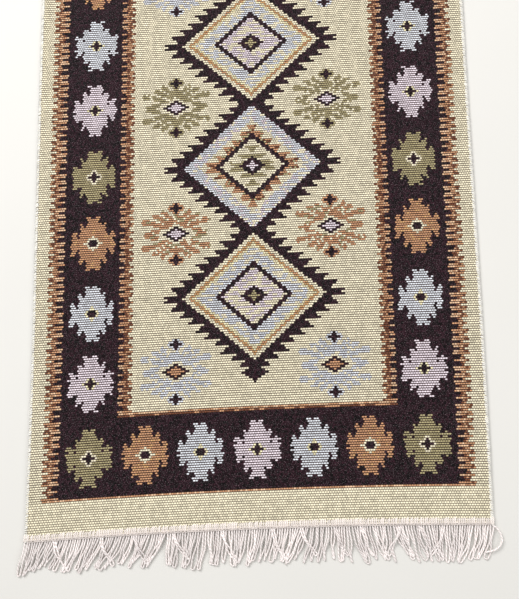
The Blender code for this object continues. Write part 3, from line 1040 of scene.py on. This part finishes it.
overlocks = {}
for number, (first, last) in enumerate(zip(LENGTH_CUTS, LENGTH_CUTS[1:]), 1):
    for label, side in (("left", -1), ("right", 1)):
        length = (last - first) * PICK_MM * MM
        loops = round(length / OVERLOCK_STEP)
        step = length / loops
        start = -HALF_LENGTH + first * PICK_MM * MM + step / 2
        overlocks[label, number] = stitch_row(
            f"{label}_overlock_{number}", overlock_path(side), OVERLOCK_YARN,
            {
                "Stitches": loops, "First": (side * HALF_WIDTH, start, 0.0), "Step": (0.0, step, 0.0),
                "Turn": 0.12, "Wander": 0.07 * MM, "Seed": 10 * number + side,
            },
            overlock_yarn,
        )
print("overlock stitches:", 2 * round(2 * HALF_LENGTH / OVERLOCK_STEP))

# %% [markdown]
# ## Headings
# Each short end is closed by a dense row of overcast stitches in pale cotton, 7 mm deep, which
# hold the fringe's cords. A line of chain stitch lies on it.

# %% Overcast headings
HEADING_YARN = 0.85 * MM
HEADING_STITCHES = 250
HEADING_START = -HALF_WIDTH + 0.9 * MM


def heading_path(end_sign):
    """The loop over the short end at -Y or +Y, counted from the end."""
    outer = -HEADING_YARN
    inner = -HEADING_DEPTH
    top = HEADING_TOP - HEADING_YARN
    low = HEADING_YARN * 0.75
    middle = (top + low) / 2
    points = (
        (0.5, inner, top - 0.6 * MM),
        (0.4, inner + 1.1 * MM, top),
        (0.1, (inner + outer) / 2, top + 0.05 * MM),
        (-0.1, outer - 0.8 * MM, top),
        (-0.2, outer + 0.1 * MM, middle),
        (-0.2, outer - 0.8 * MM, low),
        (-0.1, inner + 1.5 * MM, low),
        (0.0, inner + 0.4 * MM, low + 0.3 * MM),
    )
    return [(x * MM, end_sign * y, z) for x, y, z in points]


headings = {}
step = 2 * (HALF_WIDTH - 0.9 * MM) / (HEADING_STITCHES - 1)
for label, sign in (("front", -1), ("back", 1)):
    headings[label] = stitch_row(
        f"{label}_heading_stitches", heading_path(sign), HEADING_YARN,
        {
            "Stitches": HEADING_STITCHES, "First": (HEADING_START, sign * HALF_LENGTH, 0.0),
            "Step": (step, 0.0, 0.0), "Turn": 0.06, "Wander": 0.09 * MM, "Seed": 70 + sign,
        },
        heading_yarn,
    )
print("heading stitches:", 2 * HEADING_STITCHES, "at", round(1000 * step, 2), "mm")

# %% Chain stitch
CHAIN_STEP = 2.9 * MM
CHAIN_YARN = 0.34 * MM
CHAIN_LINE = HALF_LENGTH - 1.6 * MM
CHAIN_START = -HALF_WIDTH + 4 * MM
CHAIN_HEIGHT = HEADING_TOP + 0.05 * MM


def chain_path(end_sign):
    """One link of the chain, a teardrop that starts inside the link before it."""
    points = []
    for turn in np.linspace(0.08, 0.92, 11):
        angle = 2 * math.pi * turn
        x = (1 - math.cos(angle)) * 0.5 * 4.1 - 0.8
        y = math.sin(angle) * 0.78 * (0.55 + 0.45 * math.sin(math.pi * turn))
        points.append((x * MM, y * MM, 0.12 * MM * math.sin(math.pi * turn)))
    return [(x, end_sign * y, z) for x, y, z in points]


chains = {}
links = int(2 * (HALF_WIDTH - 4 * MM) / CHAIN_STEP)
for label, sign in (("front", -1), ("back", 1)):
    chains[label] = stitch_row(
        f"{label}_chain_stitch", chain_path(sign), CHAIN_YARN,
        {
            "Stitches": links, "First": (CHAIN_START, sign * CHAIN_LINE, CHAIN_HEIGHT),
            "Step": (CHAIN_STEP, 0.0, 0.0), "Turn": 0.10, "Wander": 0.06 * MM, "Seed": 80 + sign,
        },
        chain_thread,
    )
print("chain links:", 2 * links)

# %% [markdown]
# ## Fringe
# The warp runs out into cords about 1.4 mm thick and 30 mm long. They are loops: two legs joined
# by a round turn at the tip. They gather into 23 tufts at each end. From the left to a little
# past the middle they lean to the left, and further on most lean to the right. A few strays cross
# the others, and one loose cord curls at the right corner. The paths of the cords are worked out
# here, and a node tree sweeps them into yarn.

# %% Cord paths
TUFTS, LEGS_PER_TUFT = 23, 8
TIP_LEAN_PLACES = (0.0, 0.20, 0.30, 0.38, 0.50, 0.62, 0.68, 0.80, 0.87, 0.93, 1.0)
TIP_LEAN_MM = (-11, -12, -5, -4, -7, -10, 4, 5, 3, -3, -5)
LEG_POINTS = 15
CORD_RADIUS = 0.72 * MM


def cord_leg(root, tip, length, height, draw):
    """Points from the heading to the tip. It starts straight, then swings towards its tip."""
    s = np.linspace(0, 1, LEG_POINTS)
    phase, swing = draw.uniform(0, 6.28), draw.uniform(0.5, 2.1)
    x = root + (tip - root) * (0.3 * s + 0.7 * s**1.7)
    x += swing * MM * s * (1.25 - 0.5 * s) * np.sin(6.8 * s + phase)
    y = s * math.sqrt(max(length**2 - (tip - root) ** 2, (0.6 * length) ** 2))
    z = 1.3 * MM * (1 - s) ** 2 + CORD_RADIUS + height * np.sin(math.pi * np.clip(s * 1.15, 0, 1)) ** 2
    return np.stack([x, y, z], 1)


def looped_cord(first, second):
    """Two legs joined by a round turn at their tips."""
    gap = second[-1] - first[-1]
    reach = 0.3 * MM + 0.4 * abs(gap[0])
    turn = []
    for share in (0.2, 0.5, 0.8):
        outwards = np.array((0, reach * math.sin(math.pi * share), 0))
        turn.append(first[-1] + gap * share + outwards)
    return np.concatenate([first, turn, second[::-1]])


print("legs at each end:", TUFTS * LEGS_PER_TUFT, "of", LEG_POINTS, "points each")

# %% All cords of one end
# Where strays lie, as shares of the width from the left, and the curl of the corner cord in mm
# from the right edge and from the heading.
STRAY_PLACES = (0.07, 0.16, 0.24, 0.31, 0.43, 0.52, 0.60, 0.66, 0.71, 0.79, 0.85, 0.90)
STRAY_LENGTH, STRAY_HEIGHT = 0.78 * FRINGE_LENGTH, 3.0 * MM
CORNER_CURL = (
    (-2.0, 0.5), (1.6, 3.0), (4.6, 7.5), (5.6, 12.5), (3.6, 17.0), (-0.5, 20.0), (-5.0, 21.5), (-9.5, 22.0),
)
CORNER_POINTS, CORNER_HEIGHT = 22, 2.4 * MM


def corner_cord():
    """The single loose cord at the right corner."""
    x, y = np.array(CORNER_CURL).T
    fine = np.linspace(0, len(CORNER_CURL) - 1, CORNER_POINTS)
    x, y = (np.interp(fine, range(len(CORNER_CURL)), side) for side in (x, y))
    return np.stack([HALF_WIDTH + x * MM, y * MM, np.full(CORNER_POINTS, CORNER_HEIGHT)], 1)


def end_cords(draw):
    """All cords of one end, with y counted outwards from the heading."""
    cords = []
    pitch = 2 * HALF_WIDTH / TUFTS
    # Each tuft has its own lean, tightness and length, and each loop small changes of its own.
    for tuft in range(TUFTS):
        centre = (tuft + 0.5) / TUFTS
        middle = -HALF_WIDTH + pitch * (tuft + 0.5)
        lean = MM * (np.interp(centre, TIP_LEAN_PLACES, TIP_LEAN_MM) + draw.normal(0, 1.8))
        gather = draw.uniform(0.62, 1.05)
        length = FRINGE_LENGTH * draw.uniform(0.82, 0.95) * np.interp(centre, (0.0, 0.3), (0.92, 1.0))
        roots = middle + pitch * 0.98 * ((np.arange(LEGS_PER_TUFT) + 0.5) / LEGS_PER_TUFT - 0.5)
        for i in range(0, LEGS_PER_TUFT, 2):
            stray = draw.normal(0, 2.1 * MM)
            drop = length * draw.uniform(0.88, 1.04)
            height = draw.uniform(0, 2.3) * MM
            legs = []
            for root in roots[i:i + 2]:
                tip = middle + lean + stray + (root - middle) * gather + draw.normal(0, 0.45 * MM)
                legs.append(cord_leg(root + draw.normal(0, 0.15 * MM), tip, drop, height, draw))
            cords.append(looped_cord(*legs))
    for place in STRAY_PLACES:
        root = -HALF_WIDTH + 2 * HALF_WIDTH * (place + draw.uniform(-0.01, 0.01))
        tip = root + draw.choice((-1, 1)) * draw.uniform(8, 13) * MM
        legs = []
        for shift in (-0.8 * MM, 0.9 * MM):
            legs.append(cord_leg(root + shift, tip + shift, STRAY_LENGTH, STRAY_HEIGHT, draw))
        cords.append(looped_cord(*legs))
    cords.append(corner_cord())
    return cords


front_cords = end_cords(np.random.default_rng(21))
back_cords = end_cords(np.random.default_rng(22))
print("cords at each end:", len(front_cords))

# %% [markdown]
# The tree turns each path into a curve, gives it its thickness and sweeps a six-sided ring along
# it. Before that it stores the length along the curve, and on the ring the two values for the
# angle, so that the cord has the same attribute as a stitch.

# %% Cord tree
def cord_tree():
    """The node tree, and its inputs' identifiers by name."""
    tree = bpy.data.node_groups.new("twisted_cords", "GeometryNodeTree")
    tree.interface.new_socket("Paths", in_out="INPUT", socket_type="NodeSocketGeometry")
    inputs = {}
    for name, kind in (
        ("Radius", "NodeSocketFloat"), ("Sides", "NodeSocketInt"), ("Seed", "NodeSocketInt"),
        ("Yarn", "NodeSocketMaterial"),
    ):
        inputs[name] = tree.interface.new_socket(name, in_out="INPUT", socket_type=kind).identifier
    tree.interface.new_socket("Cords", in_out="OUTPUT", socket_type="NodeSocketGeometry")
    given = add(tree, "NodeGroupInput").outputs
    lines = add(tree, "GeometryNodeMeshToCurve", {}, {0: given["Paths"]})
    along = add(tree, "GeometryNodeSplineParameter")
    measured = add(tree, "GeometryNodeStoreNamedAttribute", {"data_type": "FLOAT", "domain": "POINT"}, {
        "Geometry": lines.outputs[0], "Name": "along", "Value": along.outputs["Length"],
    })
    tone = add(tree, "FunctionNodeRandomValue", {"data_type": "FLOAT"}, {
        2: 0.0, 3: 1.0, "Seed": given["Seed"],
    })
    toned = add(tree, "GeometryNodeStoreNamedAttribute", {"data_type": "FLOAT", "domain": "CURVE"}, {
        "Geometry": measured.outputs[0], "Name": "tone", "Value": tone.outputs[1],
    })
    ring = add(tree, "GeometryNodeCurvePrimitiveCircle", {"mode": "RADIUS"}, {
        "Resolution": given["Sides"], "Radius": 1.0,
    })
    ring_place = add(tree, "GeometryNodeSplineParameter")
    angle = add(tree, "ShaderNodeMath", {"operation": "MULTIPLY"}, {
        0: ring_place.outputs["Factor"], 1: 4 * math.pi,
    })
    cosine = add(tree, "ShaderNodeMath", {"operation": "COSINE"}, {0: angle.outputs[0]})
    sine = add(tree, "ShaderNodeMath", {"operation": "SINE"}, {0: angle.outputs[0]})
    ring_one = add(tree, "GeometryNodeStoreNamedAttribute", {"data_type": "FLOAT", "domain": "POINT"}, {
        "Geometry": ring.outputs[0], "Name": "ply_cosine", "Value": cosine.outputs[0],
    })
    ring_two = add(tree, "GeometryNodeStoreNamedAttribute", {"data_type": "FLOAT", "domain": "POINT"}, {
        "Geometry": ring_one.outputs[0], "Name": "ply_sine", "Value": sine.outputs[0],
    })
    swept = add(tree, "GeometryNodeCurveToMesh", {}, {
        "Curve": toned.outputs[0], "Profile Curve": ring_two.outputs[0], "Scale": given["Radius"],
        "Fill Caps": True,
    })
    parts = []
    for name in ("ply_cosine", "ply_sine", "along"):
        parts.append(add(tree, "GeometryNodeInputNamedAttribute", {"data_type": "FLOAT"}, {"Name": name}))
    length_mm = add(tree, "ShaderNodeMath", {"operation": "MULTIPLY"}, {
        0: parts[2].outputs[0], 1: 1000.0,
    })
    ply = add(tree, "ShaderNodeCombineXYZ", {}, {
        0: parts[0].outputs[0], 1: parts[1].outputs[0], 2: length_mm.outputs[0],
    })
    plied = add(tree, "GeometryNodeStoreNamedAttribute", {"data_type": "FLOAT_VECTOR", "domain": "POINT"}, {
        "Geometry": swept.outputs[0], "Name": "ply", "Value": ply.outputs[0],
    })
    smooth = add(tree, "GeometryNodeSetShadeSmooth", {}, {0: plied.outputs[0]})
    real = add(tree, "GeometryNodeRealizeInstances", {}, {0: smooth.outputs[0]})
    dyed = add(tree, "GeometryNodeSetMaterial", {}, {
        "Geometry": real.outputs[0], "Material": given["Yarn"],
    })
    add(tree, "NodeGroupOutput", {}, {0: dyed.outputs[0]})
    return tree, inputs


cords_tree, cord_inputs = cord_tree()
print("cord tree:", len(cords_tree.nodes), "nodes")

# %% Fringes
CORD_ROOT_INSET = 1.2 * MM
CORD_SIDES = 6


def fringe(name, cords, sign, seed):
    """One end's fringe. At the back the cords are turned half round, as the whole end is."""
    points = np.concatenate(cords)
    points[:, 1] = HALF_LENGTH - CORD_ROOT_INSET + points[:, 1]
    points[:, :2] *= (1, -1) if sign < 0 else (-1, 1)
    edges, start = [], 0
    for path in cords:
        edges += [(start + i, start + i + 1) for i in range(len(path) - 1)]
        start += len(path)
    lines = bpy.data.meshes.new(name + "_paths")
    lines.from_pydata(points.tolist(), edges, [])
    thing = bpy.data.objects.new(name + "_paths", lines)
    bpy.context.scene.collection.objects.link(thing)
    modifier = thing.modifiers.new("cords", "NODES")
    modifier.node_group = cords_tree
    values = {"Radius": CORD_RADIUS, "Sides": CORD_SIDES, "Seed": seed, "Yarn": fringe_cotton}
    for key, value in values.items():
        modifier[cord_inputs[key]] = value
    return show(name, plain_mesh(thing, name), fringe_cotton)


fringes = {
    "front": fringe("front_fringe_cords", front_cords, -1, 31),
    "back": fringe("back_fringe_cords", back_cords, 1, 32),
}
print("fringe faces:", len(fringes["front"].data.polygons), "at each end")

# %% [markdown]
# ## Joining the pieces to the model
# Pieces on the part that lies on the table ride on its body. The first and last lengths reach over
# the lines where the runner bends at the table's edge, but here they ride on no body and stay flat,
# as do their overlocked edges and the fringes. The headings and their chain stitch ride on the hanging
# ends.

# %% Riding and standing in
FRINGE_BEND_START, FRINGE_BEND_END = 7 * MM, 20 * MM
for number in range(1, 7):
    for piece in (cloths[number - 1], overlocks["left", number], overlocks["right", number]):
        if number in (1, 6):
            sign, body = (-1, "front_end") if number == 1 else (1, "back_end")
            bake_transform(piece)
        else:
            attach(piece, "middle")
for label, sign in (("front", -1), ("back", 1)):
    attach(headings[label], label + "_end")
    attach(chains[label], label + "_end")
    start, end_at = HALF_LENGTH + FRINGE_BEND_START, HALF_LENGTH + FRINGE_BEND_END
    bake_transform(fringes[label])
    number = 1 if label == "front" else 6
    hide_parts(label + "_cloth")
    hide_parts(label + "_left_overlock")
    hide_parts(label + "_right_overlock")
    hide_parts(label + "_heading")
    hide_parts(label + "_heading_stitch")
    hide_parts(*[f"{label}_tuft_{i:02d}" for i in range(1, TUFTS + 1)])
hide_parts("middle_cloth")
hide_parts("middle_left_overlock")
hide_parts("middle_right_overlock")

# %% [markdown]
# ## What is sewn to each length
# For every length of cloth the script gathers the edgings sewn to it, and at the two ends also the
# heading, the chain stitch and the fringe. They all lie flat.

# %% What is sewn to each length
for number, (first, last) in enumerate(zip(LENGTH_CUTS, LENGTH_CUTS[1:]), 1):
    sewn = [overlocks["left", number], overlocks["right", number]]
    if number in (1, 6):
        label = "front" if number == 1 else "back"
        sewn += [headings[label], chains[label], fringes[label]]
